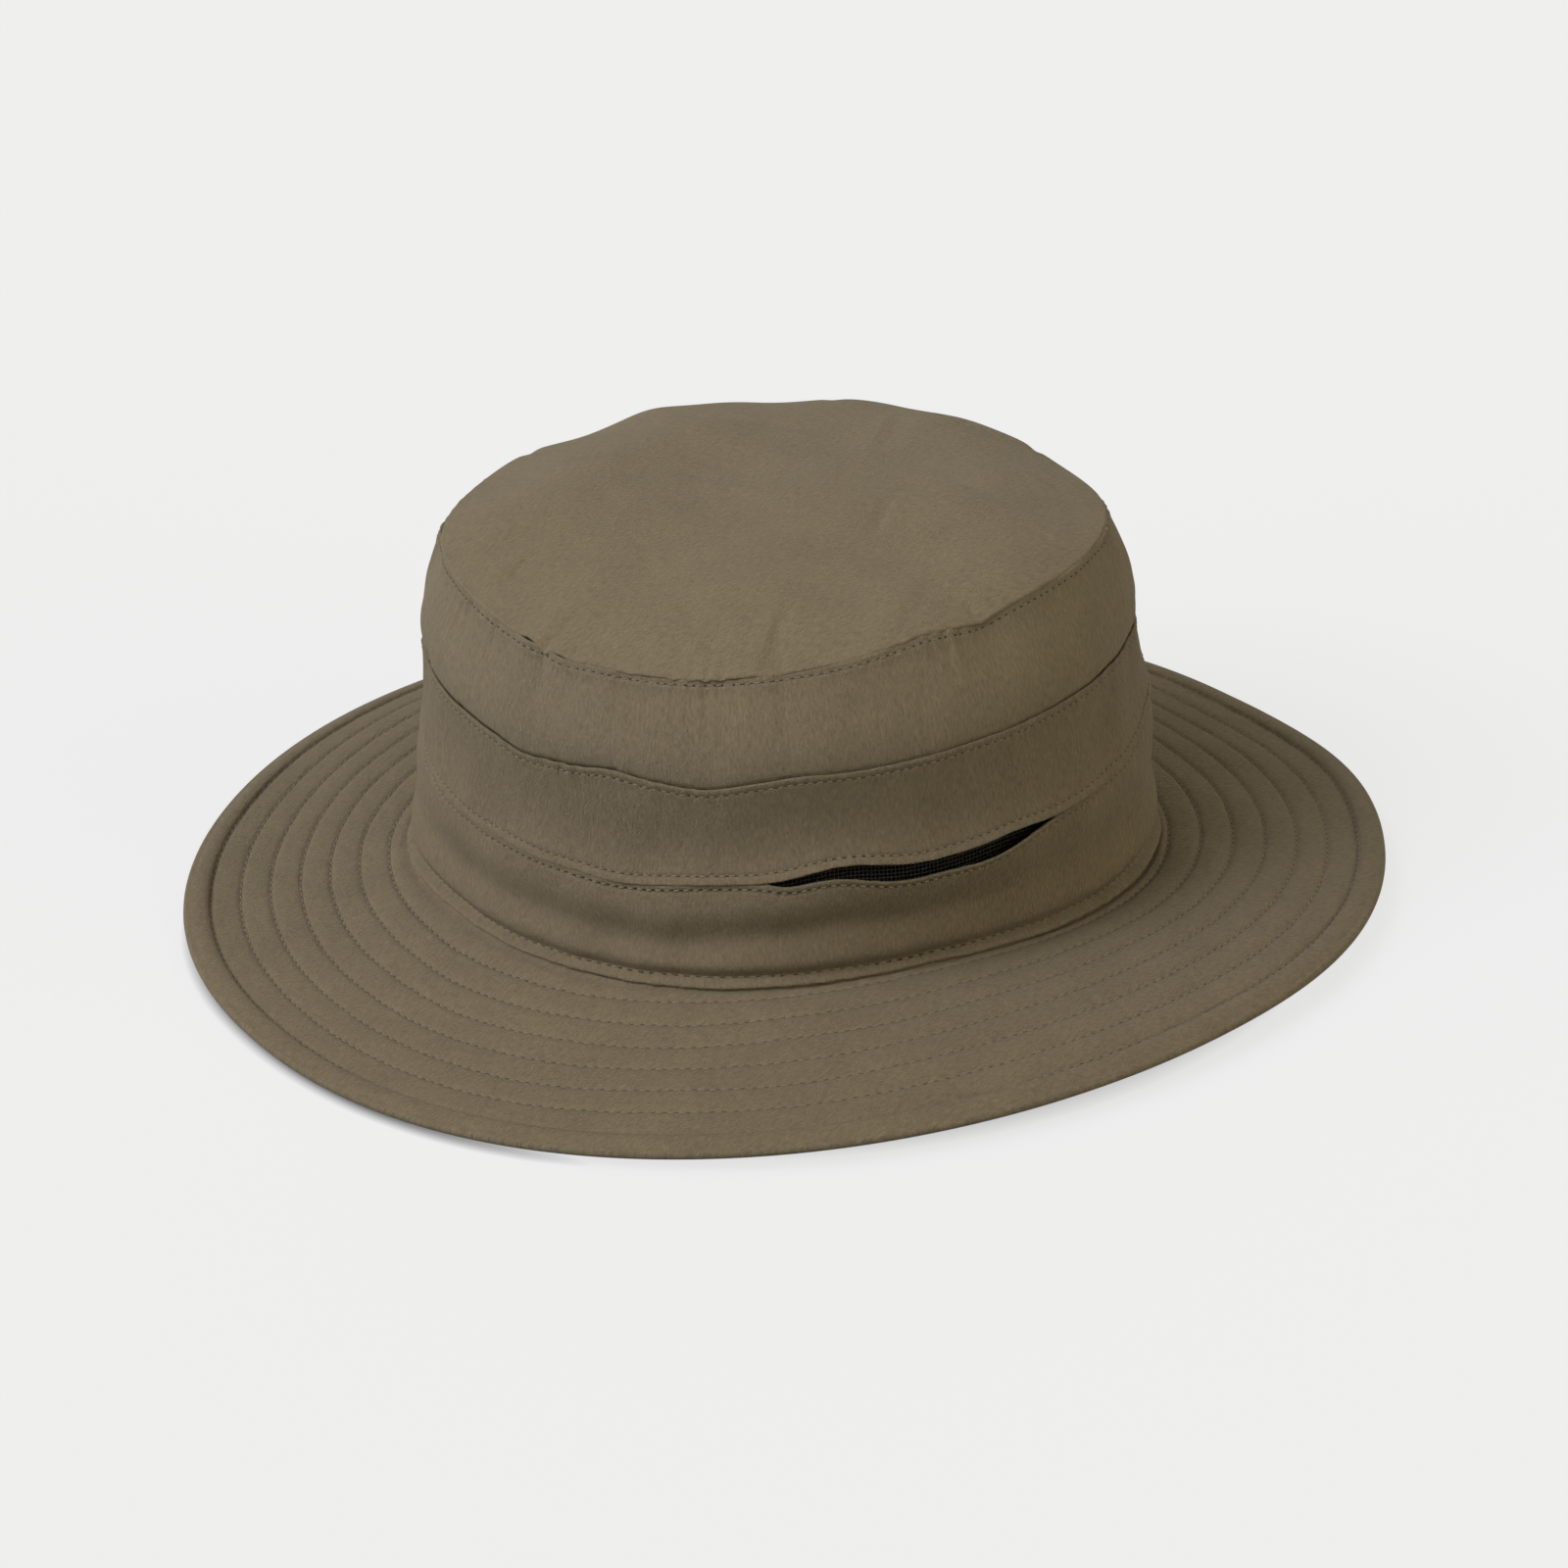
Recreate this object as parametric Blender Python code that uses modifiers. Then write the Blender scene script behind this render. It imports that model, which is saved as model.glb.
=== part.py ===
"""Boonie hat: a soft sun hat with a stitched brim and a vented crown.

Every length below is in millimetres and every mesh is written in metres.
The hat stands on its brim at z = 0.  The front of the hat faces -Y, the
wearer's left is +X, and the polar angle t runs from +X towards +Y.
Each cloth panel is an open surface that a Solidify modifier thickens inwards.
"""
import math
from collections import namedtuple

import bpy
import bmesh

MM = 0.001
SEGMENTS = 48            # steps round the hat, shared by every ring so that nested rings never cross

CLOTH = 0.7              # thickness of a cloth panel
GAP = 0.3                # clear air between two pieces that touch on the real hat
LAP_INSET = 1.4          # depth of a tucked edge behind the panel that laps over it
LAP_LENGTH = 6.0         # how far a tucked edge reaches behind its neighbour
EDGE_CLEAR = 0.6         # drop from a tucked edge's fold to the lapping panel's edge
LEDGE_DROP = 0.2         # height of the small fold where an edge turns inwards

DOME_HEIGHT = 11.5       # rise of the crown tip above its seam
DOME_POWER = 3.5         # how late the crown tip turns down towards its seam

BRIM_THICKNESS = 2.8     # the whole sandwich at the brim's edge
STIFFENER = 0.6
HEM_SHOULDER = 2.0       # from the brim's outline in to where the hem's round begins
HEM_RETURN = 7.0         # width of the hem's flat return under the brim
BRIM_ROWS = 7            # concentric stitch rows
ROW_PITCH = 1.0 / 8.0    # spacing of the stitch rows, as a part of the brim's width

THREAD_RADIUS = 0.25
THREAD_CLEAR = 0.6       # thread centre above the cloth
SEAM_TO_STITCH = 1.3     # topstitching distance from a seam
BASE_TO_STITCH = 3.0     # the same at the base of the crown

SLIT_HALF_ANGLE = 31.0   # degrees either side of the wearer's left or right
SLIT_HEIGHT = 5.0        # widest opening of a side vent
MESH_STEPS = 10          # as many steps of the hat's own angles
MESH_INSET = 3.2
MESH_THICKNESS = 0.5

SWEATBAND_INSET = 2.8
SWEATBAND = 1.2
TAPE_INSET = 2.7
TAPE = 0.5
LABEL_STEPS = 2
LABEL_INSET = 3.6

OLIVE = (0.165, 0.133, 0.086)
OLIVE_DARK = (0.095, 0.077, 0.048)
THREAD_OLIVE = (0.120, 0.097, 0.061)
MESH_DARK = (0.020, 0.018, 0.014)
FOAM_GREY = (0.350, 0.340, 0.310)
LABEL_WHITE = (0.700, 0.690, 0.660)

# A seam is a rounded oval: half widths a and b, its centre's y, the oval's squareness n (2 is an
# ellipse) and its height as a mean and waves: cos t, sin t, cos 2t, sin 2t, cos 3t, sin 3t.
Seam = namedtuple("Seam", "a b y n z")

BASE = Seam(93.2, 95.8, 0.8, 2.35, (18.0, 0.0, 0.0, 1.3, -2.8))
VENT = Seam(97.0, 98.5, 2.0, 2.1, (53.2, -0.2, 1.5, -0.3, 1.8, -0.3, -1.8))
MID = Seam(93.1, 96.0, 1.5, 2.1, (80.0, 0.3, 0.0, 0.3, 1.2, 0.4, -0.3))
TIP = Seam(81.5, 88.8, 2.0, 2.2, (107.9, -1.1, -0.4, 1.3, 1.4, 0.3, 0.5))
EDGE = Seam(159.0, 164.3, 0.0, 2.11, (2.45, 0.35, 0.45, 1.9, 0.45, 0.2, -0.27))
BRIM_BULGE = (0.66, 0.66, 1.46, 2.93, 0.03)

SETTLE_ANGLE = 112.0     # middle of the stretch at the back where the brim sinks on to its table
SETTLE_HALF_ANGLE = 48.0
SETTLE_DEPTH = 2.6


def waves(terms, t):
    """A mean height with its waves round the hat."""
    value = terms[0]
    for order in range(1, (len(terms) + 1) // 2):
        value += terms[2 * order - 1] * math.cos(order * t)
        value += terms[2 * order] * math.sin(order * t)
    return value


def oval(seam, t, inset=0.0):
    """Plan position on a seam, moved inwards by inset."""
    c = math.cos(t)
    s = math.sin(t)
    r = (abs(c) ** seam.n + abs(s) ** seam.n) ** (-1.0 / seam.n)
    return (seam.a - inset) * c * r, seam.y + (seam.b - inset) * s * r


def on_seam(seam, t, inset=0.0, lift=0.0):
    x, y = oval(seam, t, inset)
    return x, y, waves(seam.z, t) + lift


def mix(p, q, f):
    return tuple(u * (1.0 - f) + v * f for u, v in zip(p, q))


def on_wall(low, high, t, f, inset=0.0, lift=0.0):
    """A point on the crown's wall between two seams; f is 0 at the low seam and 1 at the high one."""
    x, y, z = mix(on_seam(low, t, inset), on_seam(high, t, inset), f)
    return x, y, z + lift


def on_wall_below(low, high, t, drop, inset=0.0):
    """A point on the wall a given height below the high seam."""
    height = waves(high.z, t) - waves(low.z, t)
    return on_wall(low, high, t, 1.0 - drop / height, inset)


def edge_height(t):
    """Height of the brim edge's underside, which lies flat on the table at the front and the back."""
    away = min(1.0, abs(math.degrees(t) % 360.0 - SETTLE_ANGLE) / SETTLE_HALF_ANGLE)
    sunk = SETTLE_DEPTH * math.cos(0.5 * math.pi * away) ** 2
    return max(0.0, waves(EDGE.z, t) - sunk)


def on_brim(t, s, depth=0.0):
    """A point on the brim; s is 0 at the crown and 1 at the edge, depth goes down through the layers."""
    inner = on_seam(BASE, t)
    x, y = oval(EDGE, t)
    outer = (x, y, edge_height(t) + BRIM_THICKNESS)
    x, y, z = mix(inner, outer, s)
    return x, y, z + waves(BRIM_BULGE, t) * 4.0 * s * (1.0 - s) - depth


def on_hem(t, inset, height):
    """A point on the rolled hem, height above the brim's underside."""
    x, y = oval(EDGE, t, inset)
    return x, y, edge_height(t) + height


def slit(t):
    """How far a side vent stands open at t: 0 where it is sewn shut, 1 at its widest."""
    from_side = math.degrees(math.asin(min(1.0, abs(math.sin(t)))))
    reach = min(1.0, from_side / SLIT_HALF_ANGLE)
    return (1.0 - reach * reach) ** 1.5


def angles():
    return [2.0 * math.pi * i / SEGMENTS for i in range(SEGMENTS)]


def arc(centre_deg, steps):
    """Angles either side of a centre, the same distance apart as those of a whole ring."""
    step = 2.0 * math.pi / SEGMENTS
    first = math.radians(centre_deg) - 0.5 * steps * step
    return [first + step * i for i in range(steps + 1)]


def cloth_material(name, colour, roughness):
    material = bpy.data.materials.new(name + "_finish")
    material.use_nodes = True
    shader = material.node_tree.nodes["Principled BSDF"]
    shader.inputs["Base Color"].default_value = (*colour, 1.0)
    shader.inputs["Roughness"].default_value = roughness
    shader.inputs["Metallic"].default_value = 0.0
    return material


def finish_object(name, data, colour, roughness):
    obj = bpy.data.objects.new(name, data)
    data.materials.append(cloth_material(name, colour, roughness))
    HAT.objects.link(obj)
    return obj


def panel(name, rows, thickness, colour, roughness=0.9, wrap=True, cap=None):
    """A sheet lofted through rows of points, thickened away from its faces.

    wrap closes each row into a ring, and cap is a point that closes the first row."""
    bm = bmesh.new()
    grid = [[bm.verts.new([MM * c for c in p]) for p in row] for row in rows]
    count = len(rows[0])
    for above, below in zip(grid, grid[1:]):
        for i in range(count if wrap else count - 1):
            j = (i + 1) % count
            bm.faces.new((above[i], below[i], below[j], above[j]))
    if cap is not None:
        centre = bm.verts.new([MM * c for c in cap])
        for i in range(count):
            bm.faces.new((centre, grid[0][i], grid[0][(i + 1) % count]))
    mesh = bpy.data.meshes.new(name)
    bm.to_mesh(mesh)
    bm.free()
    mesh.shade_smooth()
    obj = finish_object(name, mesh, colour, roughness)
    solid = obj.modifiers.new("Cloth", "SOLIDIFY")
    solid.thickness = thickness * MM
    solid.offset = -1.0
    solid.use_even_offset = True
    return obj


def thread(name, points):
    """A closed ring of sewing thread."""
    curve = bpy.data.curves.new(name, "CURVE")
    curve.dimensions = "3D"
    curve.bevel_depth = THREAD_RADIUS * MM
    curve.bevel_resolution = 0
    spline = curve.splines.new("POLY")
    spline.points.add(len(points) - 1)
    for knot, p in zip(spline.points, points):
        knot.co = (p[0] * MM, p[1] * MM, p[2] * MM, 1.0)
    spline.use_cyclic_u = True
    return finish_object(name, curve, THREAD_OLIVE, 0.8)


# ---- crown -------------------------------------------------------------------------------------
def crown_tip():
    """The oval top, whose edge turns down behind the upper band."""
    dome = (0.3, 0.6, 0.8, 0.92, 1.0)

    def on_dome(t, part):
        x, y, z = on_seam(TIP, t)
        middle = (0.0, TIP.y, TIP.z[0])
        x, y, z = mix(middle, (x, y, z), part)
        return x, y, z + DOME_HEIGHT * (1.0 - part ** DOME_POWER)

    rows = [[on_dome(t, part) for t in angles()] for part in dome]
    rows.append([on_wall_below(MID, TIP, t, LEDGE_DROP, LAP_INSET) for t in angles()])
    rows.append([on_wall_below(MID, TIP, t, LAP_LENGTH, LAP_INSET) for t in angles()])
    panel("crown_tip", rows, CLOTH, OLIVE, cap=(0.0, TIP.y, TIP.z[0] + DOME_HEIGHT))


def upper_band():
    """From the tip seam to the mid seam, with its lower edge behind the middle band."""
    rows = [[on_wall_below(MID, TIP, t, EDGE_CLEAR) for t in angles()]]
    for f in (0.66, 0.33, 0.0):
        rows.append([on_wall(MID, TIP, t, f) for t in angles()])
    rows.append([on_wall_below(VENT, MID, t, LEDGE_DROP, LAP_INSET) for t in angles()])
    rows.append([on_wall_below(VENT, MID, t, LAP_LENGTH, LAP_INSET) for t in angles()])
    panel("upper_band", rows, CLOTH, OLIVE)


def middle_band():
    """From the mid seam down to the free hem over the side vents."""
    rows = [[on_wall_below(VENT, MID, t, EDGE_CLEAR) for t in angles()]]
    for f in (0.66, 0.33, 0.0):
        rows.append([on_wall(VENT, MID, t, f) for t in angles()])
    panel("middle_band", rows, CLOTH, OLIVE)


def lower_band():
    """From the vents to the brim; its top edge hangs open at the sides and is tucked elsewhere."""
    def drop(t):
        return EDGE_CLEAR + GAP + SLIT_HEIGHT * slit(t)

    def tuck_top(t):
        closed = 1.0 - min(1.0, 3.0 * slit(t))
        hem = on_wall_below(BASE, VENT, t, drop(t) - LEDGE_DROP - 0.5 * CLOTH, LAP_INSET)
        behind = on_wall(VENT, MID, t, LAP_LENGTH / (MID.z[0] - VENT.z[0]), LAP_INSET)
        return mix(hem, behind, closed)

    rows = [[tuck_top(t) for t in angles()]]
    rows.append([on_wall_below(BASE, VENT, t, drop(t) - LEDGE_DROP, LAP_INSET) for t in angles()])
    rows.append([on_wall_below(BASE, VENT, t, drop(t)) for t in angles()])
    for f in (0.6, 0.4, 0.2):
        rows.append([on_wall(BASE, VENT, t, f) for t in angles()])
    rows.append([on_seam(BASE, t, 0.0, EDGE_CLEAR) for t in angles()])
    rows.append([on_seam(BASE, t, LAP_INSET, EDGE_CLEAR - LEDGE_DROP) for t in angles()])
    rows.append([on_seam(BASE, t, LAP_INSET, -BRIM_THICKNESS) for t in angles()])
    panel("lower_band", rows, CLOTH, OLIVE)


def vent_mesh(name, side_deg):
    """Dark mesh behind a side vent."""
    round_side = arc(side_deg, MESH_STEPS)
    rows = [[on_wall(VENT, MID, t, 0.35, MESH_INSET) for t in round_side]]
    rows.append([on_wall(VENT, MID, t, 0.0, MESH_INSET) for t in round_side])
    rows.append([on_wall(BASE, VENT, t, 0.74, MESH_INSET) for t in round_side])
    panel(name, rows, MESH_THICKNESS, MESH_DARK, wrap=False)


# ---- brim --------------------------------------------------------------------------------------
def brim_top():
    """The brim's upper cloth, rolled round the edge and back under as a flat hem."""
    rows = [[on_brim(t, s) for t in angles()] for s in (0.004, 0.25, 0.5, 0.75, 0.97)]
    rows.append([on_hem(t, 0.0, 0.55 * BRIM_THICKNESS) for t in angles()])
    rows.append([on_hem(t, HEM_SHOULDER, 0.0) for t in angles()])
    rows.append([on_hem(t, HEM_RETURN, 0.0) for t in angles()])
    panel("brim_top", rows, CLOTH, OLIVE)


def brim_stiffener():
    """The springy interlining that holds the brim flat."""
    depth = CLOTH + GAP
    rows = [[on_brim(t, s, depth) for t in angles()] for s in (0.01, 0.25, 0.5, 0.75, 0.95)]
    panel("brim_stiffener", rows, STIFFENER, FOAM_GREY, 0.95)


def brim_underside():
    """The brim's lower cloth, seen from below."""
    rows = [[on_brim(t, s, BRIM_THICKNESS) for t in angles()] for s in (0.86, 0.75, 0.5, 0.25, 0.01)]
    panel("brim_underside", rows, CLOTH, OLIVE_DARK)


# ---- inside ------------------------------------------------------------------------------------
def sweatband():
    rows = [[on_wall(BASE, VENT, t, f, SWEATBAND_INSET) for t in angles()] for f in (0.64, 0.32, -0.06)]
    panel("sweatband", rows, SWEATBAND, OLIVE_DARK, 0.95)


def seam_tape(name, low, high, below):
    """A narrow tape over a seam's raw edges, on the inside of the crown."""
    rows = [[on_wall_below(low, high, t, 0.8, TAPE_INSET) for t in angles()]]
    rows.append([on_wall_below(low, high, t, below, TAPE_INSET) for t in angles()])
    panel(name, rows, TAPE, OLIVE_DARK)


def care_label():
    """A blank label at the back, inside the crown."""
    back = arc(90.0, LABEL_STEPS)
    rows = [[on_wall(VENT, MID, t, f, LABEL_INSET) for t in back] for f in (0.85, 0.1)]
    panel("care_label", rows, TAPE, LABEL_WHITE, 0.6, wrap=False)


# ---- stitching ---------------------------------------------------------------------------------
def stitching():
    """The visible threads, each a ring that lies just proud of its cloth."""
    for number in range(1, BRIM_ROWS + 1):
        s = number * ROW_PITCH
        thread("brim_stitch_row_%d" % number, [on_brim(t, s, -THREAD_CLEAR) for t in angles()])
    below_tip = EDGE_CLEAR + SEAM_TO_STITCH
    out = -THREAD_CLEAR
    thread("tip_seam_stitch", [on_wall_below(MID, TIP, t, below_tip, 1.4 * out) for t in angles()])
    thread("mid_seam_stitch", [on_wall_below(VENT, MID, t, below_tip, 1.2 * out) for t in angles()])
    thread("vent_stitch_upper", [on_wall(VENT, MID, t, 0.0, 1.2 * out, SEAM_TO_STITCH) for t in angles()])
    edge = EDGE_CLEAR + GAP + SEAM_TO_STITCH
    lower = [on_wall_below(BASE, VENT, t, edge + SLIT_HEIGHT * slit(t), 1.2 * out) for t in angles()]
    thread("vent_stitch_lower", lower)
    above_base = BASE_TO_STITCH / (VENT.z[0] - BASE.z[0])
    thread("base_topstitch", [on_wall(BASE, VENT, t, above_base, 1.4 * out) for t in angles()])
    inner = SWEATBAND_INSET + SWEATBAND + THREAD_CLEAR
    thread("sweatband_stitch", [on_wall(BASE, VENT, t, 0.04, inner) for t in angles()])


def start_collection():
    for obj in list(bpy.data.objects):
        bpy.data.objects.remove(obj)
    collection = bpy.data.collections.new("boonie_hat")
    bpy.context.scene.collection.children.link(collection)
    return collection


HAT = start_collection()
crown_tip()
upper_band()
middle_band()
lower_band()
vent_mesh("vent_mesh_left", 0.0)
vent_mesh("vent_mesh_right", 180.0)
brim_top()
brim_stiffener()
brim_underside()
sweatband()
seam_tape("tip_seam_tape", MID, TIP, 9.0)
seam_tape("mid_seam_tape", VENT, MID, 9.0)
care_label()
stitching()
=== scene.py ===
"""Boonie hat: the visible hat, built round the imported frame.

Lengths are in millimetres and meshes are written in metres.  The front of the hat faces -Y, the
wearer's left is +X, and the polar angle t runs from +X towards +Y.  The crown's wall is measured by
a level: 0 at the base seam, 1 at the vents, 2 at the mid seam, 3 at the tip seam.
"""

import math
from collections import namedtuple

import bpy
import numpy as np
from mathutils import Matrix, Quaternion, Vector


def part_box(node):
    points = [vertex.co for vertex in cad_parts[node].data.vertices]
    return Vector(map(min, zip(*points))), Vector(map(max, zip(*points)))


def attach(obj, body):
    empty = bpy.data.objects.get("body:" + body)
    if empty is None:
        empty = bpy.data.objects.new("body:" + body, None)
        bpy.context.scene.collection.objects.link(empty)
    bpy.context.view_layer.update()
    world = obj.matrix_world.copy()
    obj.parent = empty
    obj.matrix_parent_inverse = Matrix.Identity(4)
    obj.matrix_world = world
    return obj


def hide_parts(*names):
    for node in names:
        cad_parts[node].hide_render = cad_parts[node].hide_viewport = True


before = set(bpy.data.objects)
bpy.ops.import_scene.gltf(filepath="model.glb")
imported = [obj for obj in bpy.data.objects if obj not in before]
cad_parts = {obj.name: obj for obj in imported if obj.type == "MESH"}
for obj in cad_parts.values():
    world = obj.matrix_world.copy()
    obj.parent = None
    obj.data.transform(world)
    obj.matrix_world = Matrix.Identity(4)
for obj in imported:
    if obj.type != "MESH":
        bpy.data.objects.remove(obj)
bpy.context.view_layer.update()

MM = 0.001
AROUND = 720                 # columns of a crown panel
AROUND_BRIM = 960            # columns of the brim
CLOTH = 0.32                 # thickness of the cloth
FOLD_RADIUS = 0.45           # half the thickness of a folded edge
HEM_DEPTH = 6.0              # how far a folded edge runs back behind the cloth

DOME_HEIGHT = 10.0
SHOULDER = 0.9               # the crown tip's rim rises this far above its seam
DOME_POWER = 3.5

BRIM_THICKNESS = 2.8
HEM_RADIUS = 1.4
HEM_RETURN = 9.0
BRIM_ROWS = 7
FIRST_ROW = 0.09             # the rows' places across the brim, 0 at the crown and 1 at the edge
ROW_PITCH = 0.132
STITCH_PITCH = 3.1           # from one stitch to the next, on the brim
SEAM_STITCH_PITCH = 2.6      # the same at the crown's seams and vents
BASE_STITCH_PITCH = 3.2      # the same round the base of the crown
THREAD_RADIUS = 0.23
THREAD_LIFT = 0.1            # the stitches' line lies this far above the cloth

SEAM_TO_STITCH = 1.5
VENT_TO_STITCH = 2.0
BASE_TO_STITCH = 2.3
SLIT_HALF_ANGLE = 37.0       # degrees either side of a vent's middle that hang free

NET_INSET = 3.4              # how far behind the wall's surface each inside piece lies
TAPE_INSET = 3.1
SWEATBAND_INSET = 3.6
SWEATBAND_THICKNESS = 1.3
SWEATBAND_HEIGHT = 35.0
UNDER_CLOTH = 0.45           # the lower brim cloth's height above the brim's own underside

Seam = namedtuple("Seam", "a b y n z dents swells")
brim_low, brim_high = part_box("brim_top")
EDGE_A = 0.5 * (brim_high.x - brim_low.x) / MM
EDGE_B = 0.5 * (brim_high.y - brim_low.y) / MM

# A seam is a rounded oval: half widths a and b, its centre's y, the oval's squareness n (2 is an
# ellipse) and its height as a mean and waves: cos t, sin t, cos 2t, sin 2t, cos 3t, sin 3t.  These
# and BRIM_BULGE were fitted by least squares in another program, rounded and partly adjusted.
# dents and swells are (angle in degrees, half width in degrees, mm up or mm outwards)
BASE = Seam(93.2, 96.2, 0.8, 2.35, (17.4, -1.1, -0.1, 1.3, -2.8),
            ((-88.0, 24.0, 0.8),), ((-128.0, 24.0, 2.2), (62.0, 20.0, 2.0)))
VENT = Seam(97.0, 98.5, 2.0, 2.1, (52.6, -1.5, 2.2, -0.3, 1.8, -0.3, -1.8),
            ((-55.0, 9.0, -1.4), (-21.0, 8.0, 3.2), (8.0, 7.0, 1.2)), ((-122.0, 25.0, -1.6),))
MID = Seam(93.1, 96.0, 1.5, 2.1, (79.0, -0.9, 0.3, 0.3, 1.2, 0.4, -0.3),
           ((-74.0, 5.0, -1.2), (-57.0, 5.0, 1.6), (-42.0, 6.0, -1.6), (-26.0, 5.0, 1.0)),
           ((-122.0, 25.0, -1.9), (56.0, 16.0, -0.6)))
TIP = Seam(81.5, 88.8, 2.0, 2.2, (106.4, -1.1, -0.4, 0.8, 2.2, 0.3, 0.5),
           ((-67.0, 4.0, -0.9), (-4.0, 8.0, 1.0), (8.5, 6.0, -1.3), (85.0, 20.0, -1.8),
            (108.0, 7.0, -0.6), (124.0, 9.0, -1.5), (149.0, 9.0, -1.8), (174.0, 6.0, 1.2),
            (189.0, 9.0, -2.0), (-145.0, 18.0, -1.0)),
           ((82.0, 22.0, -1.6), (-142.0, 16.0, -1.6)))
EDGE = Seam(EDGE_A - 0.8, EDGE_B - 0.8, 0.0, 2.11, (3.3, 0.35, 0.45, 1.9, 0.45, 0.2, -0.27), (),
            ((-138.0, 20.0, -1.4), (76.0, 14.0, 1.7), (17.0, 14.0, -1.2)))
SEAMS = (BASE, VENT, MID, TIP)
BRIM_BULGE = (0.66, 0.66, 1.46, 2.93, 0.03)
PANEL_BULGE = (0.3, 0.2, 2.2)
PANEL_LEAN = (0.0, 0.0, 0.5)  # how far each panel's fullness sits below its middle
SETTLE_ANGLE = 112.0
SETTLE_HALF_ANGLE = 48.0
SETTLE_DEPTH = 2.6


# ---- shapes shared by the pieces ---------------------------------------------------------------
def waves(terms, t):
    value = terms[0] + 0.0 * t
    for order in range(1, (len(terms) + 1) // 2):
        value = value + terms[2 * order - 1] * np.cos(order * t)
        value = value + terms[2 * order] * np.sin(order * t)
    return value


def turn(t, degrees):
    """The angle from a direction given in degrees, wrapped to half a turn either way."""
    return (t - math.radians(degrees) + math.pi) % (2.0 * math.pi) - math.pi


def bumps(marks, t):
    """Soft bumps of (angle, half width, height)."""
    value = 0.0 * t
    for angle, half_width, height in marks:
        value = value + height * np.exp(-(np.degrees(turn(t, angle)) / half_width) ** 2)
    return value


def oval(seam, t, inset=0.0):
    c = np.cos(t)
    s = np.sin(t)
    r = (np.abs(c) ** seam.n + np.abs(s) ** seam.n) ** (-1.0 / seam.n)
    out = bumps(seam.swells, t) - inset
    return (seam.a + out) * c * r, seam.y + (seam.b + out) * s * r


def ring(seam, t, inset=0.0):
    x, y = oval(seam, t, inset)
    return np.stack([x, y, waves(seam.z, t) + bumps(seam.dents, t)], -1)


def outward(t):
    """Level direction away from the crown."""
    return np.stack([np.cos(t), np.sin(t), 0.0 * t], -1)


def wall(low, t, f, inset=0.0):
    """The crown's wall above seam number low; f is 0 at that seam and 1 at the next."""
    f = np.asarray(f)[..., None]
    p = ring(SEAMS[low], t, 0.0) * (1.0 - f) + ring(SEAMS[low + 1], t, 0.0) * f
    swell = PANEL_BULGE[low] * 4.0 * f * (1.0 - f) * (1.0 + PANEL_LEAN[low] * (1.0 - 2.0 * f))
    swell = swell - np.asarray(inset)[..., None]
    return p + outward(t) * swell


def wall_height(low, t):
    return ring(SEAMS[low + 1], t)[..., 2] - ring(SEAMS[low], t)[..., 2]


def edge_height(t):
    """Height of the brim edge's underside."""
    away = np.minimum(1.0, np.abs(np.degrees(t) % 360.0 - SETTLE_ANGLE) / SETTLE_HALF_ANGLE)
    sunk = SETTLE_DEPTH * np.cos(0.5 * math.pi * away) ** 2
    return np.maximum(0.0, waves(EDGE.z, t) - sunk)


def brim(t, s, depth=0.0):
    """The brim's surface; s is 0 at the crown and 1 at the edge."""
    inner = ring(BASE, t)
    x, y = oval(EDGE, t)
    outer = np.stack([x, y, edge_height(t) + BRIM_THICKNESS], -1)
    s = np.asarray(s)[..., None]
    p = inner * (1.0 - s) + outer * s
    bulge = waves(BRIM_BULGE, t) + bumps(((-12.0, 40.0, -1.6),), t)
    p[..., 2] += bulge * 4.0 * s[..., 0] * (1.0 - s[..., 0]) - depth
    return p


def ripples(seed, count, around, along, t, v):
    """Smooth random ripples of about unit height: around is cycles round the hat, along is cycles
    per 100 mm across."""
    rng = np.random.default_rng(seed)
    total = np.zeros(np.broadcast(t, v).shape)
    for _ in range(count):
        cycles = rng.integers(around[0], around[1] + 1)
        rate = rng.uniform(along[0], along[1]) * rng.choice((-1.0, 1.0))
        phase = rng.uniform(0.0, 2.0 * math.pi)
        total += np.cos(cycles * t + 2.0 * math.pi * 0.01 * rate * v + phase)
    return total * math.sqrt(2.0 / count)


def ridge(distance, width, power=2):
    return np.exp(-np.abs(distance / width) ** power)


def surface_normals(p, wrap=True):
    """Unit normals of a grid of points, rows running down and columns round."""
    down = np.gradient(p, axis=0)
    if wrap:
        across = np.roll(p, -1, axis=1) - np.roll(p, 1, axis=1)
    else:
        across = np.gradient(p, axis=1)
    n = np.cross(down, across)
    return n / np.maximum(np.linalg.norm(n, axis=-1, keepdims=True), 1e-9)


def columns(count):
    return np.arange(count) * 2.0 * math.pi / count


# ---- mesh building -----------------------------------------------------------------------------
def make_mesh(name, vertices, faces):
    mesh = bpy.data.meshes.new(name)
    mesh.from_pydata((vertices * MM).tolist(), [], faces)
    mesh.shade_smooth()
    obj = bpy.data.objects.new(name, mesh)
    bpy.context.scene.collection.objects.link(obj)
    return obj


def grid_faces(rows, cols, wrap):
    i, j = np.meshgrid(np.arange(rows - 1), np.arange(cols if wrap else cols - 1), indexing="ij")
    k = (j + 1) % cols
    quads = np.stack([i * cols + j, (i + 1) * cols + j, (i + 1) * cols + k, i * cols + k], -1)
    return quads.reshape(-1, 4), i.ravel(), j.ravel()


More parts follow.
